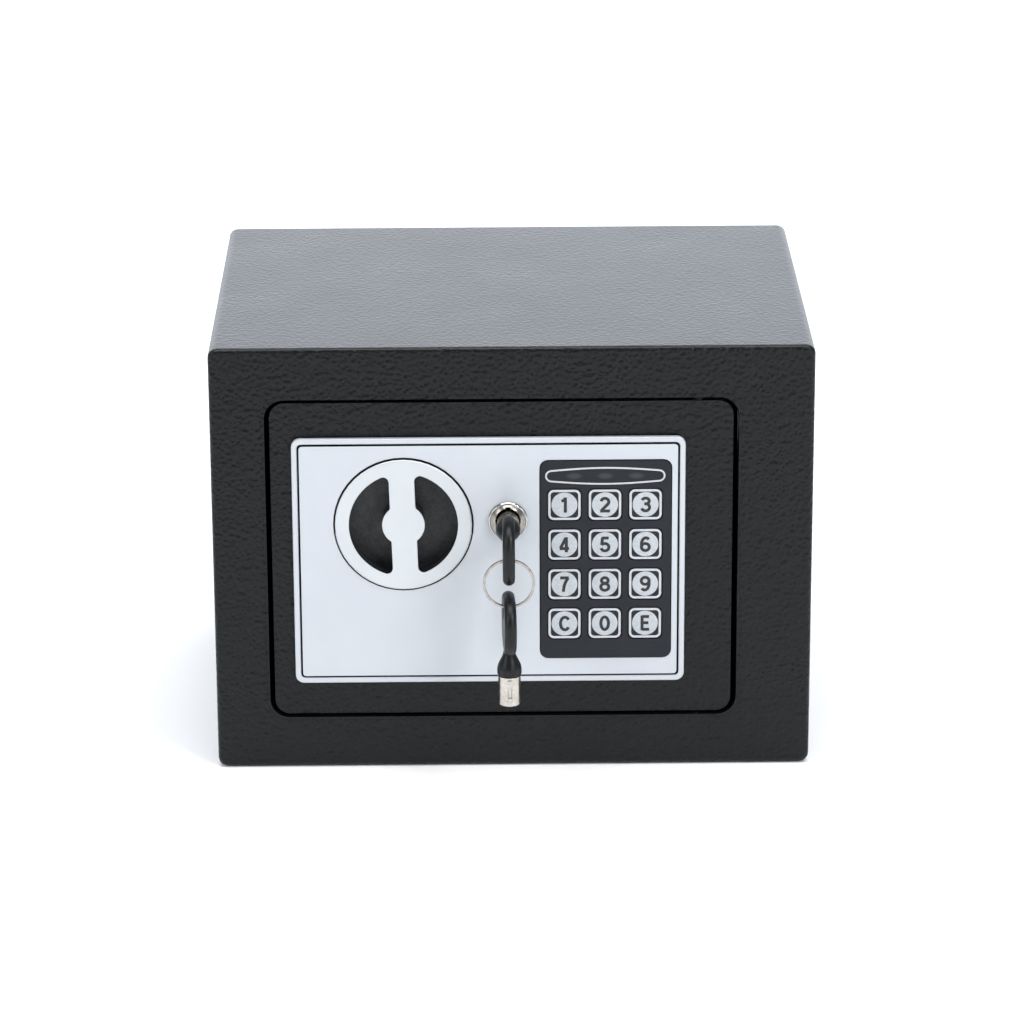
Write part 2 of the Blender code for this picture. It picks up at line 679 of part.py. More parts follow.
def bolt_work():
    """A plate with a folded edge that carries both bolts and slides sideways with them."""
    flange = (CARRIAGE_X[0], CARRIAGE_X[0] + CARRIAGE_FLANGE)
    deep = grow((BOLT_Y, BOLT_Y), CARRIAGE_HALF_DEPTH)
    carriage = box("bolt_carriage", flange, deep, CARRIAGE_Z, "steel")
    web = grow((BOLT_Y, BOLT_Y), CARRIAGE_HALF_WEB)
    join(carriage, box("carriage_web", CARRIAGE_X, web, CARRIAGE_Z))
    pin_x, pin_z = crank_pin_at_rest()
    over = CRANK_PIN_RADIUS + 0.0006
    post_x, post_z = GUIDE_POST
    beside = GUIDE_RADIUS + 0.0005
    cut(
        carriage,
        box("crank_slot", grow((pin_x, pin_x), CRANK_PIN_RADIUS + 0.00045), deep,
            (pin_z - over, KNOB_Z + CRANK_RADIUS + over), None, 0.0015, "Y", 3),
        box("guide_slot", (post_x - beside, post_x + BOLT_THROW + beside), deep,
            grow((post_z, post_z), GUIDE_RADIUS + GAP), None, GUIDE_RADIUS, "Y", 3),
    )
    for name, offset in (("drawn", 0.0), ("thrown", BOLT_THROW)):
        middle = PLUNGER_X + offset
        cut(carriage, box(
            f"notch_{name}", grow((middle, middle), PLUNGER_RADIUS + 0.0006), deep,
            (CARRIAGE_Z[0] - 0.005, CARRIAGE_Z[0] + NOTCH_DEPTH),
        ))
    for row, z in (("lower", BOLT_ROWS[0]), ("upper", BOLT_ROWS[1])):
        stud_end = flange[1] + 0.0020
        shoulder = flange[0] - GAP
        chamfer = 0.0010
        turned(
            f"{row}_bolt",
            (
                (0, BOLT_TIP), (BOLT_RADIUS - chamfer, BOLT_TIP), (BOLT_RADIUS, BOLT_TIP + chamfer),
                (BOLT_RADIUS, shoulder), (BOLT_STUD_RADIUS, shoulder), (BOLT_STUD_RADIUS, stud_end),
                (0, stud_end),
            ),
            (0, BOLT_Y, z), "steel", 28, "X",
        )
        room = rod(f"{row}_stud_room", (flange[0], BOLT_Y, z), "X", BOLT_STUD_RADIUS + GAP, 0.016)
        cut(carriage, room)


def solenoid():
    """The electric catch: an open steel frame around a coil, with the plunger that rises from it."""
    frame = box(
        "solenoid_frame", grow((PLUNGER_X, PLUNGER_X), SOLENOID_HALF[0]),
        grow((BOLT_Y, BOLT_Y), SOLENOID_HALF[1]), SOLENOID_Z, "steel",
    )
    cut(
        frame,
        box("frame_room", grow((PLUNGER_X, PLUNGER_X), SOLENOID_HALF[0] - SOLENOID_WALL),
            (-FAR, FAR), grow(SOLENOID_Z, -SOLENOID_WALL)),
        rod("plunger_room", (PLUNGER_X, BOLT_Y, SOLENOID_Z[1]), "Z", PLUNGER_RADIUS + GAP, 0.01),
    )
    low, high = grow(SOLENOID_Z, -SOLENOID_WALL - GAP)
    bore = PLUNGER_RADIUS + GAP
    turned(
        "solenoid_coil",
        ((bore, low), (COIL_RADIUS, low), (COIL_RADIUS, high), (bore, high)),
        (PLUNGER_X, BOLT_Y, 0), "copper", 28, "Z",
    )
    tip = CARRIAGE_Z[0] - 0.0006
    turned(
        "solenoid_plunger",
        (
            (0, low + GAP), (PLUNGER_RADIUS, low + GAP), (PLUNGER_RADIUS, tip - 0.0010),
            (PLUNGER_RADIUS - 0.0010, tip), (0, tip),
        ),
        (PLUNGER_X, BOLT_Y, 0), "steel", 20, "Z",
    )


# ---- override lock and keys ----
def lock():
    axis = (LOCK_X, 0, LOCK_Z)
    seat = FASCIA_FRONT - GAP
    rim = 0.0004
    housing = turned(
        "lock_housing",
        (
            (LOCK_BODY_RADIUS, LOCK_BACK), (LOCK_BODY_RADIUS, seat), (LOCK_BEZEL_RADIUS, seat),
            (LOCK_BEZEL_RADIUS, LOCK_FRONT + rim), (LOCK_BEZEL_RADIUS - rim, LOCK_FRONT),
            (LOCK_BEZEL_RADIUS - 0.0009, LOCK_FRONT), (LOCK_BORE + 0.0006, LOCK_FRONT + 2 * rim),
            (LOCK_BORE, LOCK_FRONT + 0.0010), (LOCK_BORE, LOCK_LIP_BACK),
            (LOCK_GROOVE, LOCK_LIP_BACK), (LOCK_GROOVE, LOCK_BACK),
        ),
        axis, "chrome", 36,
    )
    cut(housing, box(
        "key_notch", grow((LOCK_X, LOCK_X), 0.0010), (-FAR, LOCK_LIP_BACK + 0.0005),
        (LOCK_Z + 0.003, LOCK_Z + LOCK_BORE + 0.0006),
    ))
    nut = rod(
        "lock_nut", (LOCK_X, DOOR_BACK + GAP + LOCK_NUT_THICK / 2, LOCK_Z), "Y", LOCK_NUT_RADIUS,
        LOCK_NUT_THICK, "steel", 6,
    )
    thread = LOCK_BODY_RADIUS + GAP
    cut(nut, rod("nut_thread", (LOCK_X, DOOR_BACK, LOCK_Z), "Y", thread, DRILL))
    barrel_room = KEY_BARREL_END_Y + 0.0006
    tail = LOCK_BACK + LOCK_TAIL
    turned(
        "lock_plug",
        (
            (0, LOCK_POST_FRONT), (LOCK_POST_RADIUS - GAP, LOCK_POST_FRONT),
            (LOCK_POST_RADIUS, LOCK_POST_FRONT + GAP), (LOCK_POST_RADIUS, barrel_room),
            (LOCK_GROOVE - GAP, barrel_room), (LOCK_GROOVE - GAP, LOCK_BACK),
            (LOCK_TAIL_RADIUS, LOCK_BACK), (LOCK_TAIL_RADIUS, tail), (0, tail),
        ),
        axis, "brass", 28,
    )
    cam_front = LOCK_BACK + GAP
    cam = box(
        "lock_cam", grow((LOCK_X, LOCK_X), CAM_HALF_WIDTH), (cam_front, cam_front + CAM_THICK),
        (LOCK_Z - CAM_REACH[0], LOCK_Z + CAM_REACH[1]), "steel", 0.0045, "Y", 4,
    )
    hole = rod("cam_hole", (LOCK_X, LOCK_BACK, LOCK_Z), "Y", LOCK_TAIL_RADIUS + GAP, 0.01, sides=20)
    cut(cam, hole)


def key(name):
    """A tubular key standing on the end of its barrel: length along Z, bow across Y."""
    bow_start = KEY_BARREL + KEY_BELL
    ream = KEY_BARREL - GAP
    barrel = turned(
        f"{name}_barrel",
        (
            (KEY_BORE, 0), (KEY_BARREL_RADIUS - 0.0003, 0), (KEY_BARREL_RADIUS, 0.0003),
            (KEY_BARREL_RADIUS, ream), (0, ream), (0, ream - 0.0008), (KEY_BORE, ream - 0.0015),
        ),
        (0, 0, 0), "chrome", 28, "Z",
    )
    outside = (KEY_BARREL_RADIUS - 0.0006, KEY_BARREL_RADIUS + 0.0006)
    lug = box(f"{name}_lug", grow((0, 0), 0.0007), outside, (0.0004, 0.0036))
    rib = box(f"{name}_rib", grow((0, 0), 0.0009), grow(outside, -0.0001), (0.0074, 0.0106))
    join(barrel, lug, rib)
    steps = 6
    flare = [
        (
            KEY_NECK_RADIUS
            + (KEY_BELL_RADIUS - KEY_NECK_RADIUS) * math.cos(math.pi / 2 * i / steps) ** 0.8,
            KEY_BARREL + 0.0022 + (KEY_BELL - 0.0022) * i / steps,
        )
        for i in range(steps)
    ]
    head = turned(
        f"{name}_head",
        (
            (0, KEY_BARREL), (KEY_BELL_RADIUS - 0.0003, KEY_BARREL),
            (KEY_BELL_RADIUS, KEY_BARREL + 0.0004), *flare,
            (KEY_NECK_RADIUS - 0.0003, bow_start + 0.0015), (0, bow_start + 0.0015),
        ),
        (0, 0, 0), "black", 28, "Z",
    )
    bow_half = (KEY_LENGTH - bow_start) / 2
    bow = rod(f"{name}_bow", (0, 0, bow_start + bow_half), "X", 1.0, KEY_THICK, sides=44)
    squash_across(bow, KEY_BOW_HALF_WIDTH, bow_half)
    hole = rod(f"{name}_hole", (0, 0, KEY_HOLE_ALONG), "X", KEY_HOLE, DRILL, sides=32)
    neck = box(
        f"{name}_neck", grow((0, 0), KEY_THICK / 2 - 0.0001), grow((0, 0), 0.0075),
        (bow_start - 0.0012, bow_start + 0.0045), None, 0.0012, "X", 2,
    )
    join(head, bow, neck)
    cut(head, hole)
    return barrel, lug, rib, head, bow, neck, hole


def squash_across(obj, half_y, half_z):
    """Turns a unit disc across X into a bow's rounded outline of the given half sizes."""
    for vertex in obj.data.vertices:
        angle = math.atan2(vertex.co.z, vertex.co.y)
        across, along = abs(math.cos(angle)), abs(math.sin(angle))
        reach = (across**KEY_BOW_POWER + along**KEY_BOW_POWER) ** (-1 / KEY_BOW_POWER)
        vertex.co.y = half_y * reach * math.cos(angle)
        vertex.co.z = half_z * reach * math.sin(angle)


def place(pieces, location, rotation):
    """Stands a key and its helpers where the key belongs."""
    at = Matrix.Translation(location) @ rotation
    for obj in pieces:
        obj.matrix_world = at @ Matrix.Translation(obj.location)


def keys_and_ring():
    drooping = Matrix.Rotation(math.pi / 2 + KEY_DROOP, 4, "X")
    half_engaged = KEY_ENGAGED / 2
    pivot = Vector((LOCK_X, KEY_BARREL_END_Y - half_engaged, LOCK_Z))
    barrel_end = pivot - drooping @ Vector((0, 0, half_engaged))
    place(key("inserted_key"), barrel_end, drooping)
    hole = barrel_end + drooping @ Vector((0, 0, KEY_HOLE_ALONG))
    ring_centre = hole - Vector((0, 0, RING_IN_HOLE + RING_RADIUS))
    spare_end = ring_centre - Vector((0, 0, RING_RADIUS + RING_IN_HOLE + KEY_HOLE_ALONG))
    place(key("spare_key"), spare_end, Matrix.Rotation(SPARE_YAW, 4, "Z"))
    bpy.ops.mesh.primitive_torus_add(
        major_segments=40, minor_segments=8, major_radius=RING_RADIUS, minor_radius=RING_WIRE,
        location=ring_centre, rotation=(math.pi / 2, 0, 0),
    )
    ring = bpy.context.object
    ring.name = ring.data.name = "key_ring"
    ring.data.materials.append(LOOKS["steel"])
    ring.data.shade_smooth()
    for collection in list(ring.users_collection):
        collection.objects.unlink(ring)
    PARTS.objects.link(ring)


# ---- power and electronics ----
def battery_box_limits():
    half = 2 * BATTERY_PITCH + 0.0018
    return (
        (BATTERY_X - half, BATTERY_X + half),
        (BATTERY_Z - BATTERY_BOX_HALF_HEIGHT, BATTERY_Z + BATTERY_BOX_HALF_HEIGHT),
    )


def batteries():
    x, z = battery_box_limits()
    tray = box("battery_box", x, (BATTERY_BOX_FRONT, TRAY_BACK - 0.0005), z, "black", 0.0015)
    room = box("battery_room", grow(x, -BATTERY_BOX_WALL),
               (BATTERY_BOX_FRONT + BATTERY_BOX_WALL, FAR), grow(z, -BATTERY_BOX_WALL))
    cut(tray, room)
    for number in range(4):
        centre = BATTERY_X + (number - 1.5) * BATTERY_PITCH
        up = 1 if number % 2 else -1
        half = BATTERY_LENGTH / 2
        shoulder = half - BATTERY_CAP
        profile = [
            (0, -up * half), (BATTERY_RADIUS, -up * half), (BATTERY_RADIUS, up * shoulder),
            (BATTERY_CAP_RADIUS, up * shoulder), (BATTERY_CAP_RADIUS, up * half), (0, up * half),
        ]
        turned(f"battery_{number + 1}", profile, (centre, BATTERY_Y, BATTERY_Z), "battery", 24, "Z")
    back = TRAY_BACK + GAP
    lid = box("battery_cover", x, (back, back + LID_THICK), z, "black", 0.0020)
    for rib in range(LID_RIBS):
        height = z[1] - 0.006 - rib * 0.0022
        cut(lid, box(
            f"grip_{rib}", grow((BATTERY_X, BATTERY_X), 0.010), (back + LID_THICK - 0.0006, FAR),
            grow((height, height), 0.0005),
        ))


def electronics():
    board = box("control_board", BOARD_X, (BOARD_Y, BOARD_Y + BOARD_THICK), BOARD_Z, "board")
    join(
        board,
        box("processor", (0.030, 0.042), (BOARD_Y - 0.002, BOARD_Y + BOARD_THICK / 2),
            (0.112, 0.124)),
        rod("capacitor", (0.060, BOARD_Y + 0.006, 0.118), "Y", 0.0040, 0.012, sides=20),
    )
    front, back = TRAY_BACK - 0.0080, TRAY_BACK + 0.0030
    rod("reset_button", (RESET_X, (front + back) / 2, RESET_Z), "Y", RESET_RADIUS, back - front,
        "red", 20)


cabinet_shell()
rear_panel()
floor_mat()
hinge_hardware()
door_plate()
mechanism_tray()
inner_cover()
cover_screws()
fascia()
knob_well()
keypad()
knob()
bolt_work()
solenoid()
lock()
keys_and_ring()
batteries()
electronics()
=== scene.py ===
"""Looks for the compact electronic safe: materials, printed keypad, lock rim, split ring, key
heads, camera, floor and studio light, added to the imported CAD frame. Metres, +Z up."""

import math

import bmesh
import bpy
from mathutils import Matrix, Vector


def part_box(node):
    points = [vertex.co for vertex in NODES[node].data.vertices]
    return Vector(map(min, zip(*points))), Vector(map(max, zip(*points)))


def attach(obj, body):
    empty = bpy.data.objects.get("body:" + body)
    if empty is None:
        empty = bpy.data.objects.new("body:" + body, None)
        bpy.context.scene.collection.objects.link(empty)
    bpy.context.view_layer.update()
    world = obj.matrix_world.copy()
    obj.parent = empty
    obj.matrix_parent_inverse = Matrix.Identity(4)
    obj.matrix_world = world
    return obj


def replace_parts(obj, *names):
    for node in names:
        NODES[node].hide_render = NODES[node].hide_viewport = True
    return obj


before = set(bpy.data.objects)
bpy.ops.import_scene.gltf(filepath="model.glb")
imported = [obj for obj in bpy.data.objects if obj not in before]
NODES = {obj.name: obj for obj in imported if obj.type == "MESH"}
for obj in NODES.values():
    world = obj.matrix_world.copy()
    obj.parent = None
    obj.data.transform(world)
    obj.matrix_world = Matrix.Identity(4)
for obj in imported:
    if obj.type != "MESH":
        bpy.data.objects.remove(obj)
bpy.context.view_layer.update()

MM = 0.001
BUTTONS = {
    "button_1": "1", "button_2": "2", "button_3": "3",
    "button_4": "4", "button_5": "5", "button_6": "6",
    "button_7": "7", "button_8": "8", "button_9": "9",
    "button_clear": "C", "button_0": "0", "button_enter": "E",
}


# ---- node helpers ----
class Shader:
    """A material under construction: a Principled shader and the nodes that feed it.

    The plain colour and roughness hold wherever vary_colour or vary_roughness isn't called.
    """

    def __init__(self, name, colour, roughness, metallic=0.0, specular=0.5):
        self.material = bpy.data.materials.new(name)
        self.material.use_nodes = True
        self.tree = self.material.node_tree
        self.principled = self.tree.nodes["Principled BSDF"]
        self.put("Base Color", (*colour, 1))
        self.put("Roughness", roughness)
        self.put("Metallic", metallic)
        self.put("Specular IOR Level", specular)
        self.where = self.node("ShaderNodeTexCoord").outputs["Object"]

    def put(self, socket, value):
        self.principled.inputs[socket].default_value = value

    def node(self, kind, **settings):
        made = self.tree.nodes.new(kind)
        for name, value in settings.items():
            setattr(made, name, value)
        return made

    def link(self, output, node_input):
        self.tree.links.new(output, node_input)

    def noise(self, scale, detail=3.0, roughness=0.5, stretch=(1, 1, 1)):
        mapping = self.node("ShaderNodeMapping")
        mapping.inputs["Scale"].default_value = stretch
        self.link(self.where, mapping.inputs["Vector"])
        texture = self.node("ShaderNodeTexNoise")
        texture.inputs["Scale"].default_value = scale
        texture.inputs["Detail"].default_value = detail
        texture.inputs["Roughness"].default_value = roughness
        self.link(mapping.outputs["Vector"], texture.inputs["Vector"])
        return texture.outputs["Fac"]

    def cells(self, scale, feature="SMOOTH_F1"):
        texture = self.node("ShaderNodeTexVoronoi", feature=feature)
        texture.inputs["Scale"].default_value = scale
        self.link(self.where, texture.inputs["Vector"])
        return texture.outputs["Distance"]

    def remap(self, output, low, high, start=0.3, end=0.7):
        """Stretches start to end, the middle of a noise's range by default, to low to high."""
        node = self.node("ShaderNodeMapRange")
        for name, value in (("From Min", start), ("From Max", end), ("To Min", low), ("To Max", high)):
            node.inputs[name].default_value = value
        self.link(output, node.inputs["Value"])
        return node.outputs["Result"]

    def add(self, first, second, share):
        """The first value plus a share of the second."""
        node = self.node("ShaderNodeMath", operation="MULTIPLY_ADD")
        self.link(second, node.inputs[0])
        node.inputs[1].default_value = share
        self.link(first, node.inputs[2])
        return node.outputs["Value"]

    def vary_roughness(self, output, low, high):
        self.link(self.remap(output, low, high), self.principled.inputs["Roughness"])

    def vary_colour(self, output, dark, light):
        ramp = self.node("ShaderNodeValToRGB")
        ramp.color_ramp.elements[0].color = (*dark, 1)
        ramp.color_ramp.elements[1].color = (*light, 1)
        ramp.color_ramp.elements[0].position = 0.35
        ramp.color_ramp.elements[1].position = 0.65
        self.link(output, ramp.inputs["Fac"])
        self.link(ramp.outputs["Color"], self.principled.inputs["Base Color"])

    def bump(self, output, strength, distance):
        node = self.node("ShaderNodeBump")
        node.inputs["Strength"].default_value = strength
        node.inputs["Distance"].default_value = distance
        self.link(output, node.inputs["Height"])
        self.link(node.outputs["Normal"], self.principled.inputs["Normal"])
        return node

    def upward(self):
        """How far the face looks up: 1 on a flat top, 0 on a wall."""
        parts = self.node("ShaderNodeSeparateXYZ")
        self.link(self.node("ShaderNodeNewGeometry").outputs["True Normal"], parts.inputs["Vector"])
        return parts.outputs["Z"]


# ---- materials ----
def powder_coat():
    look = Shader("powder_coat", (0.0020, 0.0025, 0.0034), 0.36, specular=0.27)
    peel = look.add(look.cells(620), look.noise(1100, 2.0), 0.45)
    relief = look.bump(peel, 1.0, 0.00045)
    # the paint runs smoother on a face that lies flat
    look.link(look.remap(look.upward(), 1.0, 0.38), relief.inputs["Strength"])
    look.vary_roughness(look.noise(30, 3.0), 0.27, 0.30)
    look.vary_colour(look.noise(160, 4.0), (0.0017, 0.0022, 0.0031), (0.0024, 0.0029, 0.0038))
    return look.material


def silver_plastic():
    look = Shader("silver_plastic", (0.54, 0.57, 0.61), 0.32, metallic=0.25)
    look.vary_colour(look.noise(28, 5.0), (0.53, 0.56, 0.60), (0.55, 0.58, 0.62))
    look.vary_roughness(look.noise(120, 5.0), 0.30, 0.35)
    look.bump(look.noise(420, 2.0), 0.04, 0.00003)
    return look.material


def knob_silver():
    look = Shader("knob_silver", (0.57, 0.605, 0.63), 0.30, metallic=0.25)
    look.vary_colour(look.noise(28, 5.0), (0.56, 0.595, 0.62), (0.58, 0.615, 0.64))
    look.vary_roughness(look.noise(120, 5.0), 0.29, 0.33)
    look.bump(look.noise(420, 2.0), 0.02, 0.00002)
    return look.material


def black_plastic():
    look = Shader("black_plastic", (0.016, 0.018, 0.020), 0.50)
    grain = look.add(look.noise(2600, 3.0), look.cells(3800), 0.4)
    look.bump(grain, 0.35, 0.00012)
    look.vary_roughness(look.noise(300, 4.0), 0.44, 0.60)
    look.vary_colour(look.noise(900, 4.0), (0.012, 0.014, 0.0155), (0.024, 0.027, 0.030))
    return look.material


def key_plastic():
    look = Shader("key_plastic", (0.0045, 0.0050, 0.0065), 0.38, specular=0.30)
    look.bump(look.noise(900, 3.0), 0.06, 0.00005)
    look.vary_roughness(look.noise(500, 4.0), 0.30, 0.44)
    look.vary_colour(look.noise(420, 3.0), (0.0038, 0.0044, 0.0058), (0.0055, 0.0062, 0.0078))
    return look.material


def keypad_film():
    look = Shader("keypad_film", (0.008, 0.011, 0.016), 0.42, specular=0.30)
    look.bump(look.noise(1200, 2.0), 0.05, 0.00004)
    look.vary_roughness(look.noise(220, 4.0), 0.34, 0.44)
    look.vary_colour(look.noise(60, 3.0), (0.007, 0.010, 0.015), (0.009, 0.012, 0.017))
    return look.material


def print_white():
    look = Shader("print_white", (0.54, 0.55, 0.57), 0.50)
    look.vary_colour(look.noise(900, 3.0), (0.51, 0.52, 0.54), (0.57, 0.58, 0.60))
    look.bump(look.noise(5000, 2.0), 0.05, 0.00005)
    return look.material


def print_silver():
    look = Shader("print_silver", (0.47, 0.50, 0.53), 0.42, metallic=0.2)
    look.vary_colour(look.noise(1300, 3.0), (0.43, 0.46, 0.49), (0.51, 0.54, 0.57))
    look.vary_roughness(look.noise(3000, 3.0), 0.34, 0.50)
    return look.material


def print_black():
    look = Shader("print_black", (0.012, 0.013, 0.016), 0.5)
    look.vary_colour(look.noise(1500, 3.0), (0.008, 0.009, 0.011), (0.018, 0.019, 0.022))
    return look.material


# painted shade: a near-black that stands for the shade in the gaps between parts and on their side walls
def painted_gap_shade():
    look = Shader("painted_gap_shade", (0.006, 0.005, 0.006), 0.6, specular=0.2)
    look.vary_colour(look.noise(300, 3.0), (0.004, 0.004, 0.005), (0.009, 0.008, 0.009))
    return look.material


def lamp_lens():
    look = Shader("lamp_lens", (0.045, 0.050, 0.056), 0.28)
    look.vary_colour(look.noise(700, 3.0), (0.035, 0.040, 0.045), (0.060, 0.065, 0.072))
    look.bump(look.noise(4000, 2.0), 0.08, 0.00006)
    return look.material


def metal(name, dark, light, roughness, grain, strength, stretch=(1, 1, 1)):
    look = Shader(name, light, roughness, metallic=1.0)
    brushed = look.noise(grain, 4.0, 0.6, stretch)
    look.vary_colour(brushed, dark, light)
    look.vary_roughness(look.noise(grain / 4, 4.0), roughness * 0.75, roughness * 1.35)
    look.bump(brushed, strength, 0.00004)
    return look.material


def circuit_board():
    look = Shader("circuit_board", (0.015, 0.12, 0.055), 0.35)
    look.vary_colour(look.cells(420, "F1"), (0.012, 0.09, 0.042), (0.030, 0.19, 0.085))
    look.bump(look.noise(1600, 2.0), 0.25, 0.0001)
    return look.material


def felt():
    look = Shader("felt", (0.035, 0.036, 0.040), 0.95, specular=0.2)
    lengthwise = look.noise(2400, 6.0, 0.7, (1, 0.25, 1))
    crosswise = look.noise(2400, 6.0, 0.7, (0.25, 1, 1))
    fibres = look.add(lengthwise, crosswise, 0.9)
    look.bump(fibres, 0.9, 0.0006)
    look.vary_colour(look.noise(700, 6.0, 0.7), (0.022, 0.023, 0.026), (0.062, 0.063, 0.068))
    look.put("Sheen Weight", 0.35)
    look.put("Sheen Roughness", 0.5)
    return look.material


def battery_sleeve():
    look = Shader("battery_sleeve", (0.10, 0.11, 0.13), 0.28, metallic=0.4)
    look.vary_colour(look.noise(90, 4.0), (0.085, 0.095, 0.115), (0.125, 0.135, 0.155))
    look.bump(look.noise(1500, 2.0), 0.06, 0.00006)
    return look.material


def red_plastic():
    look = Shader("red_plastic", (0.50, 0.025, 0.02), 0.35)
    look.vary_colour(look.noise(500, 3.0), (0.42, 0.02, 0.016), (0.56, 0.032, 0.026))
    look.bump(look.noise(2500, 2.0), 0.1, 0.00008)
    return look.material


LOOKS = {
    "powder": powder_coat(),
    "silver": silver_plastic(),
    "knob": knob_silver(),
    "black": black_plastic(),
    "key": key_plastic(),
    "keypad": keypad_film(),
    "white": print_white(),
    "disc": print_silver(),
    "ink": print_black(),
    "shadow": painted_gap_shade(),
    "lamp": lamp_lens(),
    "chrome": metal("chrome", (0.50, 0.50, 0.50), (0.58, 0.58, 0.58), 0.07, 300, 0.02),
    "nickel": metal("nickel", (0.46, 0.43, 0.39), (0.60, 0.57, 0.52), 0.24, 500, 0.06),
    "zinc": metal("zinc_plate", (0.42, 0.43, 0.44), (0.62, 0.63, 0.64), 0.34, 260, 0.15),
    "wire": metal("spring_wire", (0.30, 0.28, 0.26), (0.46, 0.44, 0.41), 0.20, 600, 0.05),
    "brass": metal("brass", (0.55, 0.38, 0.16), (0.76, 0.57, 0.28), 0.26, 700, 0.12, (1, 6, 1)),
    "copper": metal(
        "copper_winding", (0.40, 0.15, 0.07), (0.72, 0.33, 0.17), 0.30, 900, 0.6, (0.2, 0.2, 9),
    ),
    "board": circuit_board(),
    "felt": felt(),
    "battery": battery_sleeve(),
    "red": red_plastic(),
}

# node: (look, rounding of its edges in mm)
DRESS = {
    "cabinet_shell": ("powder", 0.45), "rear_panel": ("powder", 0.3), "floor_mat": ("felt", 0.5),
    "door_plate": ("powder", 0.55), "mechanism_tray": ("powder", 0.3), "inner_cover": ("powder", 0.3),
    "upper_hinge_bracket": ("zinc", 0.25), "lower_hinge_bracket": ("zinc", 0.25),
    "upper_pivot_pin": ("zinc", 0.15), "lower_pivot_pin": ("zinc", 0.15),
    "fascia_frame": ("silver", 0.55), "fascia_plate": ("silver", 0.30),
    "knob_cap": ("knob", 0.25), "knob_core": ("black", 0.25), "knob_well": ("black", 0.35),
    "knob_shaft": ("zinc", 0.2), "bolt_carriage": ("zinc", 0.2), "upper_bolt": ("zinc", 0.3),
    "lower_bolt": ("zinc", 0.3), "solenoid_frame": ("zinc", 0.25), "solenoid_coil": ("copper", 0.3),
    "solenoid_plunger": ("zinc", 0.2), "lock_housing": ("chrome", 0.12), "lock_nut": ("zinc", 0.25),
    "lock_plug": ("brass", 0.15), "lock_cam": ("zinc", 0.2), "keypad_frame": ("keypad", 0.2),
    "keypad_board": ("board", 0.1), "control_board": ("board", 0.1),
    "battery_box": ("black", 0.25), "battery_cover": ("black", 0.2), "reset_button": ("red", 0.3),
    "inserted_key_barrel": ("nickel", 0.15), "spare_key_barrel": ("nickel", 0.15),
}
DRESS.update({f"battery_{n}": ("battery", 0.3) for n in (1, 2, 3, 4)})
DRESS.update({f"cover_screw_{n}": ("zinc", 0.12) for n in (1, 2, 3, 4)})
DRESS.update({f"lamp_{n}": ("lamp", 0.15) for n in ("left", "middle", "right")})
DRESS.update({name: ("keypad", 0.12) for name in BUTTONS})


WELD_GAP, FLAT_ANGLE, EDGE_ANGLE = 0.002 * MM, math.radians(0.3), math.radians(32)
NO_OUTER_WALL = 2.0  # no face looks up this much, so every outward wall keeps its look


def soften(obj, width):
    """Rounds a CAD solid's sharp edges by the given width, in mm, and shades it smooth."""
    for face in obj.data.polygons:
        face.use_smooth = True
    weld = obj.modifiers.new("weld", "WELD")
    weld.merge_threshold = WELD_GAP
    flat = obj.modifiers.new("flat", "DECIMATE")
    flat.decimate_type = "DISSOLVE"
    flat.angle_limit = FLAT_ANGLE
    bevel = obj.modifiers.new("edges", "BEVEL")
    bevel.width = width * MM
    bevel.segments = 3
    bevel.limit_method = "ANGLE"
    bevel.angle_limit = EDGE_ANGLE
    bevel.use_clamp_overlap = True
    normals = obj.modifiers.new("normals", "WEIGHTED_NORMAL")
    normals.keep_sharp = False


def darken_walls(name, outward_above=None):
    """Paints shade on a faceplate's side walls: blackens them for the shade in the gaps around it, and
    keeps its edges bright.

    Walls that face outwards go black only where they face up more than outward_above.
    """
    obj = NODES[name]
    low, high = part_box(name)
    middle = (low + high) / 2
    obj.data.materials.append(LOOKS["shadow"])
    for face in obj.data.polygons:
        outward = Vector(face.normal).dot(Vector(face.center) - middle) > 0
        kept = outward and outward_above is not None and face.normal.z < outward_above
        # these walls get the black painted shade; the rounded edges keep the part's own look
        if abs(face.normal.y) < 0.5 and not kept:
            face.material_index = 1
    obj.modifiers["edges"].material = 0


def dress_nodes():
    for name, (look, width) in DRESS.items():
        obj = NODES[name]
        obj.data.materials.clear()
        obj.data.materials.append(LOOKS[look])
        soften(obj, width)


# ---- mesh helpers ----
def full_turn(steps):
    """Angles all the way round, without the last one, which is the first again."""
    return [2 * math.pi * i / steps for i in range(steps)]


def quarter_turn(steps):
    """Angles from zero to a right angle, both included."""
    return [math.pi / 2 * i / steps for i in range(steps + 1)]


def add_piece(name, bm, look, body):
    """Makes a new piece of the mesh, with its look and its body."""
    bmesh.ops.recalc_face_normals(bm, faces=bm.faces)
    mesh = bpy.data.meshes.new(name)
    bm.to_mesh(mesh)
    bm.free()
    mesh.materials.append(LOOKS[look])
    mesh.shade_smooth()
    mesh.set_sharp_from_angle(angle=math.radians(38))
    obj = bpy.data.objects.new(name, mesh)
    bpy.context.scene.collection.objects.link(obj)
    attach(obj, body)
    return obj


def skin(bm, rows, wrap=False):
    """Joins closed loops of points into a tube, capped at its ends or wrapped round to its start."""
    loops = [[bm.verts.new(point) for point in row] for row in rows]
    following = loops[1:] + loops[:1] if wrap else loops[1:]
    for first, second in zip(loops, following):
        for i in range(len(first)):
            j = (i + 1) % len(first)
            bm.faces.new((first[i], first[j], second[j], second[i]))
    if not wrap:
        bm.faces.new(loops[0])
        bm.faces.new(loops[-1])


def rounded_rectangle(width, height, radius, steps=6):
    """Points round a rectangle about the origin, a few on each corner's arc."""
    points = []
    for turn, (sx, sz) in enumerate(((1, 1), (-1, 1), (-1, -1), (1, -1))):
        for i in range(steps + 1):
            angle = math.pi / 2 * (turn + i / steps)
            points.append((
                sx * (width / 2 - radius) + radius * math.cos(angle),
                sz * (height / 2 - radius) + radius * math.sin(angle),
            ))
    return points


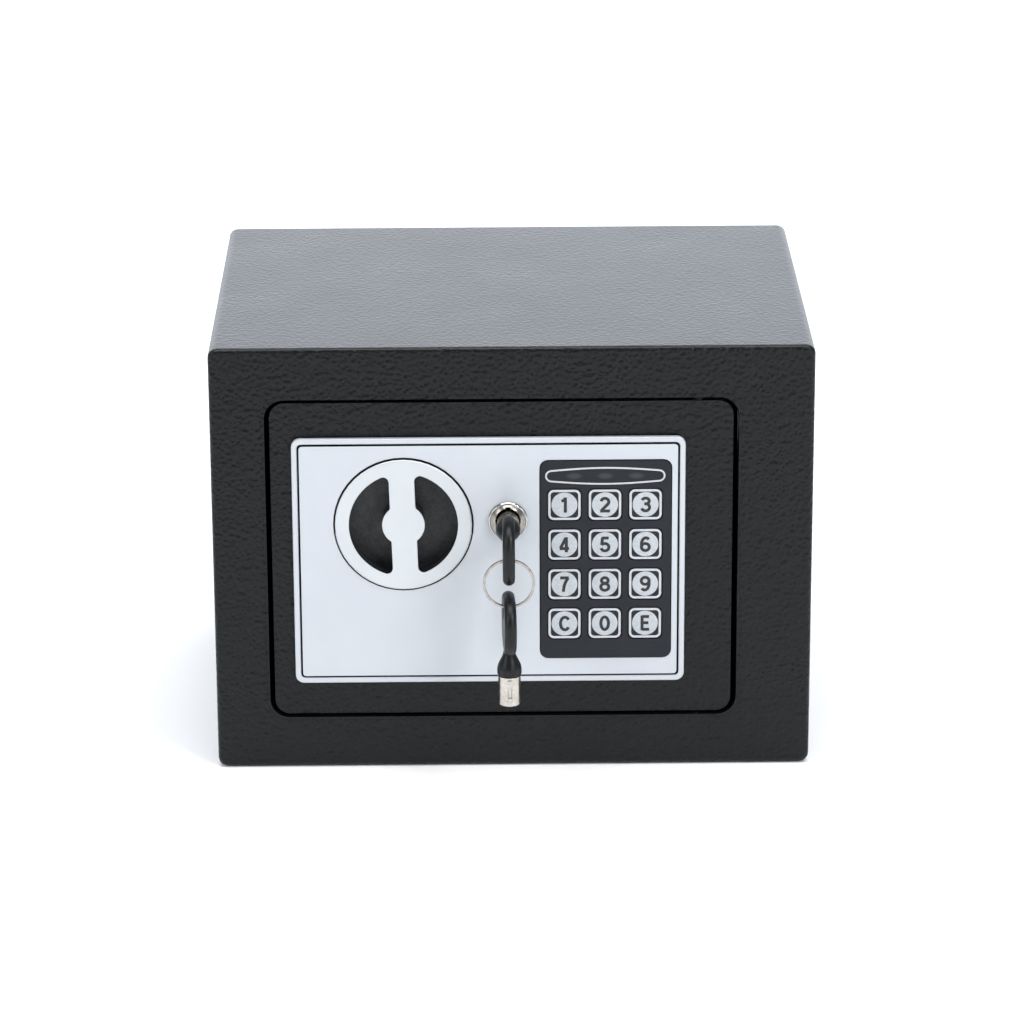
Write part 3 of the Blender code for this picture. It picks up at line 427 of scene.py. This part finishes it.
def stroke(name, outline, width, centre, depth, look, body):
    """A printed line of even width along a closed outline, lying in the XZ plane."""
    # its section: (share of the width, share of the depth)
    section = ((-0.5, 0.0), (-0.42, 1.0), (0.42, 1.0), (0.5, 0.0))
    count = len(outline)
    rows = []
    for i, (x, z) in enumerate(outline):
        before, after = Vector(outline[i - 1]), Vector(outline[(i + 1) % count])
        along = (after - before).normalized()
        side = Vector((along.y, -along.x)) * width
        rows.append([
            (centre[0] + x + side.x * across, centre[1] - depth * rise, centre[2] + z + side.y * across)
            for across, rise in section
        ])
    bm = bmesh.new()
    skin(bm, rows, wrap=True)
    return add_piece(name, bm, look, body)


def disc(name, radius, centre, depth, look, body):
    """A printed disc with a soft edge and a slightly crowned face."""
    # from the rim inwards: (share of the radius, share of the depth)
    section = ((1.0, 0.0), (0.985, 0.7), (0.93, 1.0), (0.6, 1.12), (0.3, 1.18), (0.05, 1.2))
    bm = bmesh.new()
    skin(bm, [
        [
            (centre[0] + radius * share * math.cos(turn), centre[1] - depth * rise,
             centre[2] + radius * share * math.sin(turn))
            for turn in full_turn(48)
        ]
        for share, rise in section
    ])
    return add_piece(name, bm, look, body)


# ---- keypad ----
PRINT_LIFT, PRINT_RISE = 0.01 * MM, 0.06 * MM
KEY_FACE, KEY_CORNER, KEY_LINE = (11.45 * MM, 11.25 * MM), 1.75 * MM, 0.90 * MM
DISC_RADIUS, DISC_RISE = 4.98 * MM, 0.09 * MM
FIGURE_HEIGHT, FIGURE_LIFT = 6.1 * MM, 0.12 * MM
FIGURE_RISE, FIGURE_STEP = 0.030 * MM, 0.008 * MM
HALF_PEN = 0.098  # of the figure's height
LAMP_GLOW = (3.6 * MM, 9 * MM, 1.5 * MM)  # reach of the pale spot over a lamp
WINDOW_HALF_LENGTH, WINDOW_END, WINDOW_BULGE = 22.6 * MM, 2.1 * MM, 1.1 * MM
WINDOW_LINE, FILM_RISE = 0.7 * MM, 0.03 * MM


def middle_of(node):
    """The middle of a node's box and the place of its front."""
    low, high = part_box(node)
    return (Vector(low) + Vector(high)) / 2, Vector(low).y


def arc(centre, radii, start, end, steps=14):
    """Points of an elliptical arc between two angles in degrees."""
    points = []
    for i in range(steps + 1):
        angle = math.radians(start + (end - start) * i / steps)
        points.append((
            centre[0] + radii[0] * math.cos(angle), centre[1] + radii[1] * math.sin(angle),
        ))
    return points


def upside_down(lines):
    """The same strokes turned half a turn within the unit height."""
    return [[(-x, 1 - z) for x, z in line] for line in lines]


SIX = [
    arc((0, 0.31), (0.245, 0.235), 180, 540, 28),
    arc((0.03, 0.50), (0.275, 0.425), 48, 180) + [(-0.245, 0.31)],
]
# centre lines of each figure's strokes, one unit tall
FIGURES = {
    "1": [[(-0.19, 0.76), (-0.06, 0.79), (0.02, 0.86), (0.05, 0.97)], [(0.06, 0.0), (0.06, 1.0)]],
    "2": [
        arc((0, 0.69), (0.24, 0.235), 172, -32) + [(-0.02, 0.33), (-0.18, 0.17), (-0.22, 0.08)],
        [(-0.30, 0.085), (0.32, 0.085)],
    ],
    "3": [
        arc((0, 0.73), (0.225, 0.19), 165, -90), arc((0, 0.31), (0.25, 0.235), 90, -165),
        [(-0.08, 0.535), (0.03, 0.535)],
    ],
    "4": [[(0.12, 0.0), (0.12, 1.0)], [(0.10, 0.97), (-0.25, 0.27)], [(-0.30, 0.25), (0.29, 0.25)]],
    "5": [
        [(-0.18, 0.93), (0.24, 0.93)], [(-0.15, 0.97), (-0.20, 0.46)],
        arc((0, 0.32), (0.25, 0.245), 145, -165, 20),
    ],
    "6": SIX,
    "7": [[(-0.27, 0.93), (0.27, 0.93)], [(0.23, 0.93), (0.08, 0.66), (-0.02, 0.38), (-0.07, 0.0)]],
    "8": [arc((0, 0.735), (0.21, 0.185), 0, 360, 28), arc((0, 0.30), (0.25, 0.225), 0, 360, 28)],
    "9": upside_down(SIX),
    "0": [arc((0, 0.5), (0.24, 0.425), 0, 360, 32)],
    "C": [arc((0.03, 0.5), (0.28, 0.425), 36, 324, 30)],
    "E": [
        [(-0.18, 0.0), (-0.18, 1.0)], [(-0.18, 0.93), (0.26, 0.93)],
        [(-0.18, 0.51), (0.22, 0.51)], [(-0.18, 0.07), (0.27, 0.07)],
    ],
}


def figure(name, text, centre, height, body):
    """One printed figure, its middle at the centre given, drawn as even strokes."""
    half_pen = HALF_PEN * height
    bm = bmesh.new()
    for order, line in enumerate(FIGURES[text]):
        # each stroke stands a little higher, so that crossing strokes share no plane
        thickness = FIGURE_RISE + FIGURE_STEP * order
        points = [Vector((x * height, (z - 0.5) * height)) for x, z in line]
        closed = (points[0] - points[-1]).length < half_pen / 10
        if closed:
            points.pop()
        rows = []
        for i, point in enumerate(points):
            before = points[i - 1] if closed or i else point
            after = points[(i + 1) % len(points)] if closed or i + 1 < len(points) else point
            along = (after - before).normalized()
            side = Vector((along.y, -along.x)) * half_pen
            rows.append([
                (centre.x + corner.x, centre.y - rise, centre.z + corner.y)
                for corner, rise in (
                    (point - side, 0), (point + side, 0),
                    (point + side, thickness), (point - side, thickness),
                )
            ])
        skin(bm, rows, wrap=closed)
    return add_piece(name, bm, "ink", body)


def print_buttons():
    outline = rounded_rectangle(*KEY_FACE, KEY_CORNER)
    for node, text in BUTTONS.items():
        centre, front = middle_of(node)
        body = node.replace("button_", "key_")
        face = (centre.x, front - PRINT_LIFT, centre.z)
        stroke(f"{node}_outline", outline, KEY_LINE, face, PRINT_RISE, "white", body)
        disc(f"{node}_disc", DISC_RADIUS, face, DISC_RISE, "disc", body)
        on_disc = Vector((centre.x, front - FIGURE_LIFT, centre.z))
        figure(f"{node}_figure", text, on_disc, FIGURE_HEIGHT, body)


def lens_outline(half_length, end_radius, bulge, side_steps=28, end_steps=8):
    """A long window with round ends whose upper and lower edges bow outwards."""
    points = []
    reach = half_length - end_radius
    for side in (1, -1):
        for i in range(side_steps):
            x = side * reach * (1 - 2 * i / side_steps)
            rise = end_radius + bulge * math.cos(math.pi / 2 * x / reach)
            points.append((x, side * rise))
        for i in range(end_steps + 1):
            angle = math.pi / 2 + math.pi * i / end_steps
            points.append((
                side * (-reach + end_radius * math.cos(angle)), side * end_radius * math.sin(angle),
            ))
    return points


def lamp_film(lamps):
    """Smoked film over the lamps, a little paler over each of the three."""
    look = Shader("lamp_film", (0.008, 0.011, 0.016), 0.36, specular=0.30)
    spots = None
    for lamp in lamps:
        mapping = look.node("ShaderNodeMapping", vector_type="TEXTURE")
        mapping.inputs["Location"].default_value = middle_of(lamp)[0]
        mapping.inputs["Scale"].default_value = LAMP_GLOW
        look.link(look.where, mapping.inputs["Vector"])
        glow = look.node("ShaderNodeTexGradient", gradient_type="SPHERICAL")
        look.link(mapping.outputs["Vector"], glow.inputs["Vector"])
        spots = glow.outputs["Fac"] if spots is None else look.add(spots, glow.outputs["Fac"], 1.0)
    ramp = look.node("ShaderNodeValToRGB")
    ramp.color_ramp.elements[0].color = (0.007, 0.010, 0.014, 1)
    ramp.color_ramp.elements[1].color = (0.034, 0.038, 0.042, 1)
    ramp.color_ramp.elements[1].position = 0.55
    look.link(spots, ramp.inputs["Fac"])
    look.link(ramp.outputs["Color"], look.principled.inputs["Base Color"])
    look.bump(look.noise(3000, 2.0), 0.05, 0.00004)
    return look.material


def print_lamp_window():
    LOOKS["film"] = lamp_film(("lamp_left", "lamp_middle", "lamp_right"))
    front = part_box("keypad_frame")[0].y
    centre = middle_of("lamp_middle")[0]
    face = (centre.x, front - PRINT_LIFT, centre.z)
    outline = lens_outline(WINDOW_HALF_LENGTH, WINDOW_END, WINDOW_BULGE)
    stroke("lamp_window_outline", outline, WINDOW_LINE, face, PRINT_RISE, "white", "door")
    bm = bmesh.new()
    skin(bm, [
        [(face[0] + x, face[1] - rise, face[2] + z) for x, z in outline] for rise in (0, FILM_RISE)
    ])
    add_piece("lamp_window_film", bm, "film", "door")


# ---- keys and ring ----
# places along a key are measured from the open end of its tube
KEY_LENGTH, KEY_BARREL, KEY_BELL = 44.0 * MM, 11.8 * MM, 8.5 * MM
BOW_START = KEY_BARREL + KEY_BELL
BOW_HALF, BOW_THICK, BOW_POWER = 13.1 * MM, 4.6 * MM, 2.4
KEY_HOLE, KEY_HOLE_ALONG, HOLE_ROUNDING = 2.8 * MM, 37.2 * MM, 0.9 * MM
BELL_LIP = ((4.35 * MM, KEY_BARREL), (4.62 * MM, KEY_BARREL + 0.3 * MM))
BELL_RADIUS, BELL_STRAIGHT, BELL_TAPER, BELL_POWER = 4.7 * MM, 2 * MM, 7.0 * MM, 0.8
NECK_REACH, NECK_END = 2 * MM, 0.9  # how far it runs into the bow, and its last radius as a share
KEY_DROOP, SPARE_YAW = math.radians(5.5), math.radians(182.7)
KEY_PIVOT, KEY_HALF_ENGAGED = Vector((-1.75, -83.8, 101.2)) * MM, 3.6 * MM
RING_WIDE, RING_DEEP, RING_CORNER = 0.98 * MM, 0.46 * MM, 0.16 * MM
RING_STEPS, RING_START, RING_PITCH = 260, math.pi * 0.30, 1.08  # the pitch in wire depths
CROSSING_START, CROSSING_LENGTH = 0.45, 0.10  # of the wire's length
SEAM_LONG, SEAM_WIDE, SEAM_CORNER = 8.6 * MM, 1.5 * MM, 0.7 * MM
SEAM_LINE, SEAM_RISE, SEAM_ASIDE, SEAM_OUT = 0.34 * MM, 0.12 * MM, 0.2 * MM, 4.28 * MM
RIM_RADIUS, RIM_HALF_WIDE, RIM_PROUD = 7.05 * MM, 0.40 * MM, 0.28 * MM


def bow_section(length):
    """Half of the bow's rim seen end-on, from the hole outwards: (distance, half thickness)."""
    half = BOW_THICK / 2
    section = [
        (HOLE_ROUNDING * (1 - math.cos(angle)), half - HOLE_ROUNDING * (1 - math.sin(angle)))
        for angle in quarter_turn(5)
    ]
    section += [
        (length - half * (1 - math.cos(angle)), half * math.sin(angle))
        for angle in reversed(quarter_turn(7))
    ]
    return section


def bow_rows():
    """The flat bow: one closed section for each direction from its hole."""
    middle, half_length = (KEY_LENGTH + BOW_START) / 2, (KEY_LENGTH - BOW_START) / 2
    rows = []
    for angle in full_turn(72):
        across, along = math.cos(angle), math.sin(angle)
        reach = (abs(across) ** BOW_POWER + abs(along) ** BOW_POWER) ** (-1 / BOW_POWER)
        edge = Vector((BOW_HALF * reach * across, middle + half_length * reach * along))
        hole = Vector((KEY_HOLE * across, KEY_HOLE_ALONG + KEY_HOLE * along))
        out = (edge - hole).normalized()
        section = bow_section((edge - hole).length)
        loop = [(high, *(hole + out * away)) for away, high in section]
        loop += [(-high, *(hole + out * away)) for away, high in reversed(section[:-1])]
        rows.append(loop)
    return rows


def bell_rows(steps=12):
    """The bell over the tube's end and the neck it narrows to, turned about the key's axis."""
    neck = BOW_THICK / 2
    profile = list(BELL_LIP)
    for i in range(steps + 1):
        fall = ((1 + math.cos(math.pi * i / steps)) / 2) ** BELL_POWER
        along = KEY_BARREL + BELL_STRAIGHT + BELL_TAPER * i / steps
        profile.append((neck + (BELL_RADIUS - neck) * fall, along))
    profile.append((neck * NECK_END, BOW_START + NECK_REACH))
    return [[(r * math.cos(a), r * math.sin(a), h) for a in full_turn(40)] for r, h in profile]


def key_head(name, body, node, place):
    """A moulded head: a flat bow with a round hole, blended through a neck into a bell."""
    bm = bmesh.new()
    skin(bm, bow_rows(), wrap=True)
    skin(bm, bell_rows())
    bm.transform(place)
    head = add_piece(name, bm, "key", body)
    remesh = head.modifiers.new("blend", "REMESH")
    remesh.mode = "VOXEL"
    remesh.voxel_size = 0.26 * MM
    remesh.use_smooth_shade = True
    relax = head.modifiers.new("relax", "SMOOTH")
    relax.factor = 0.5
    relax.iterations = 8
    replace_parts(head, node)


def dress_keys():
    drooping = Matrix.Rotation(math.pi / 2 + KEY_DROOP, 4, "X")
    base = KEY_PIVOT - drooping @ Vector((0, 0, KEY_HALF_ENGAGED))
    inserted = Matrix.Translation(base) @ drooping
    key_head("inserted_key_bow", "key", "inserted_key_head", inserted)
    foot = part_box("spare_key_barrel")[0].z
    hole = inserted @ Vector((0, 0, KEY_HOLE_ALONG))
    spare = Matrix.Translation((KEY_PIVOT.x, hole.y, foot)) @ Matrix.Rotation(SPARE_YAW, 4, "Z")
    key_head("spare_key_bow", "spare", "spare_key_head", spare)


def split_ring():
    """Two flat turns of spring steel lying against each other, with a crossing step."""
    low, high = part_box("key_ring")
    centre = (low + high) / 2
    radius = (high.x - low.x) / 2 - RING_WIDE / 2
    outline = rounded_rectangle(RING_WIDE, RING_DEEP, RING_CORNER, 2)
    rows = []
    for i in range(RING_STEPS + 1):
        share = i / RING_STEPS
        angle = 4 * math.pi * share - RING_START
        step = min(1.0, max(0.0, (share - CROSSING_START) / CROSSING_LENGTH))
        y = centre.y + (step * step * (3 - 2 * step) - 0.5) * RING_DEEP * RING_PITCH
        rows.append([
            (centre.x + (radius + r) * math.cos(angle), y + d, centre.z + (radius + r) * math.sin(angle))
            for r, d in outline
        ])
    bm = bmesh.new()
    skin(bm, rows)
    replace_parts(add_piece("split_ring", bm, "wire", "ring"), "key_ring")


def key_seam():
    """The rolled seam down the front of the spare key's tube."""
    centre = middle_of("spare_key_barrel")[0]
    place = (KEY_PIVOT.x + SEAM_ASIDE, centre.y - SEAM_OUT, centre.z)
    outline = rounded_rectangle(SEAM_WIDE, SEAM_LONG, SEAM_CORNER)
    stroke("spare_key_seam", outline, SEAM_LINE, place, SEAM_RISE, "wire", "spare")


def bezel_rim():
    """The rounded rim spun over the edge of the lock's bezel."""
    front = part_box("lock_housing")[0].y
    rows = []
    for angle in full_turn(80):
        row = []
        for roll in full_turn(12):
            reach = RIM_RADIUS + RIM_HALF_WIDE * math.cos(roll)
            row.append((
                KEY_PIVOT.x + reach * math.cos(angle), front - RIM_PROUD * math.sin(roll),
                KEY_PIVOT.z + reach * math.sin(angle),
            ))
        rows.append(row)
    bm = bmesh.new()
    skin(bm, rows, wrap=True)
    add_piece("lock_bezel_rim", bm, "chrome", "door")


# ---- cabinet trim ----
OPENING_WIDTH, OPENING_HEIGHT, OPENING_CORNER = 183.2 * MM, 131.8 * MM, 8.8 * MM
OPENING_X, OPENING_Z = -3.95 * MM, 85.15 * MM
BEAD_WIDTH, BEAD_RISE = 0.5 * MM, 0.10 * MM


def opening_bead():
    """The slight ridge that the rolled lip leaves around the door opening."""
    middle = (OPENING_X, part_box("cabinet_shell")[0].y, OPENING_Z)
    outline = rounded_rectangle(OPENING_WIDTH, OPENING_HEIGHT, OPENING_CORNER, 12)
    stroke("opening_bead", outline, BEAD_WIDTH, middle, BEAD_RISE, "powder", "cabinet")


# ---- stage ----
CAMERA_PLACE, CAMERA_LENS = (-0.01394, -1.67295, 0.65667), 154.66
CAMERA_PITCH, CAMERA_YAW, CAMERA_ROLL = (math.radians(a) for a in (19.18, 0.496, -0.2755))
FLOOR_HALF_WIDTH, FLOOR_NEAR, FLOOR_BEND, FLOOR_RADIUS, WALL_TOP = 5.0, -4.0, 1.6, 1.2, 5.0
FLOOR_DROP = 0.3 * MM
LIGHT_TARGET = (0, 0, 0.1)
# name: (place, size, watts, colour)
LIGHTS = {
    "rear_softbox": ((0.0, 1.6, 1.05), (5.0, 2.2), 54, (0.84, 0.91, 1.0)),
    "side_strip": ((0.95, -1.5, 0.42), (0.22, 0.5), 3.5, (1.0, 1.0, 1.0)),
    "top_softbox": ((0.0, -0.35, 1.7), (1.6, 1.0), 24, (1.0, 1.0, 1.0)),
    "key_softbox": ((1.1, -1.2, 1.3), (0.5, 0.5), 13, (1.0, 1.0, 1.0)),
    "left_softbox": ((-1.5, -1.2, 0.9), (0.8, 1.0), 9, (1.0, 1.0, 1.0)),
}
WORLD_COLOUR, WORLD_STRENGTH = (0.93, 0.96, 1.0, 1), 0.38


def add_camera():
    """The photograph's view: from the front, 19 degrees down, a long lens."""
    forward = Vector((
        math.sin(CAMERA_YAW) * math.cos(CAMERA_PITCH),
        math.cos(CAMERA_YAW) * math.cos(CAMERA_PITCH),
        -math.sin(CAMERA_PITCH),
    ))
    right = forward.cross(Vector((0, 0, 1))).normalized()
    up = right.cross(forward)
    level = right * math.cos(CAMERA_ROLL) + up * math.sin(CAMERA_ROLL)
    upright = up * math.cos(CAMERA_ROLL) - right * math.sin(CAMERA_ROLL)
    data = bpy.data.cameras.new("camera")
    data.lens = CAMERA_LENS
    data.sensor_width = 36
    data.clip_start, data.clip_end = 0.05, 50
    camera = bpy.data.objects.new("camera", data)
    bpy.context.scene.collection.objects.link(camera)
    camera.matrix_world = (
        Matrix.Translation(CAMERA_PLACE)
        @ Matrix((level, upright, -forward)).transposed().to_4x4()
    )
    bpy.context.scene.camera = camera


def add_floor():
    """A pale sweep: a floor that curves up into a backdrop."""
    look = Shader("studio_floor", (0.97, 0.97, 0.975), 0.6, specular=0.3)
    look.vary_roughness(look.noise(6, 3.0), 0.55, 0.7)
    profile = [(FLOOR_NEAR, 0.0)]
    for angle in quarter_turn(12):
        profile.append((
            FLOOR_BEND + FLOOR_RADIUS * math.sin(angle), FLOOR_RADIUS * (1 - math.cos(angle)),
        ))
    profile.append((FLOOR_BEND + FLOOR_RADIUS, WALL_TOP))
    bm = bmesh.new()
    sides = (-FLOOR_HALF_WIDTH, FLOOR_HALF_WIDTH)
    rows = [[bm.verts.new((x, y, z)) for x in sides] for y, z in profile]
    for first, second in zip(rows, rows[1:]):
        bm.faces.new((first[0], first[1], second[1], second[0]))
    mesh = bpy.data.meshes.new("studio_floor")
    bm.to_mesh(mesh)
    bm.free()
    mesh.shade_smooth()
    mesh.materials.append(look.material)
    floor = bpy.data.objects.new("studio_floor", mesh)
    floor.location = (0, 0, -FLOOR_DROP)
    bpy.context.scene.collection.objects.link(floor)


def add_light(name, place, size, power, colour):
    data = bpy.data.lights.new(name, "AREA")
    data.shape = "RECTANGLE"
    data.size, data.size_y = size
    data.energy = power
    data.color = colour
    light = bpy.data.objects.new(name, data)
    light.location = place
    aim = Vector(LIGHT_TARGET) - Vector(place)
    light.rotation_euler = aim.to_track_quat("-Z", "Y").to_euler()
    light.visible_camera = False
    bpy.context.scene.collection.objects.link(light)


def add_lights():
    for name, settings in LIGHTS.items():
        add_light(name, *settings)
    world = bpy.data.worlds.new("studio")
    world.use_nodes = True
    background = world.node_tree.nodes["Background"]
    background.inputs["Color"].default_value = WORLD_COLOUR
    background.inputs["Strength"].default_value = WORLD_STRENGTH
    bpy.context.scene.world = world
    bpy.context.scene.view_settings.view_transform = "Standard"


dress_nodes()
# painted shade: the side walls of the fascia, knob cap and lock bezel go black for the shade in the gaps
# between parts and in the bezel's bore; the knob's outer wall gets it except where it faces down
darken_walls("fascia_plate")
darken_walls("fascia_frame", outward_above=NO_OUTER_WALL)
darken_walls("knob_cap", outward_above=-0.15)
darken_walls("lock_housing")
dress_keys()
print_buttons()
print_lamp_window()
split_ring()
key_seam()
bezel_rim()
opening_bead()
add_floor()
add_camera()
add_lights()
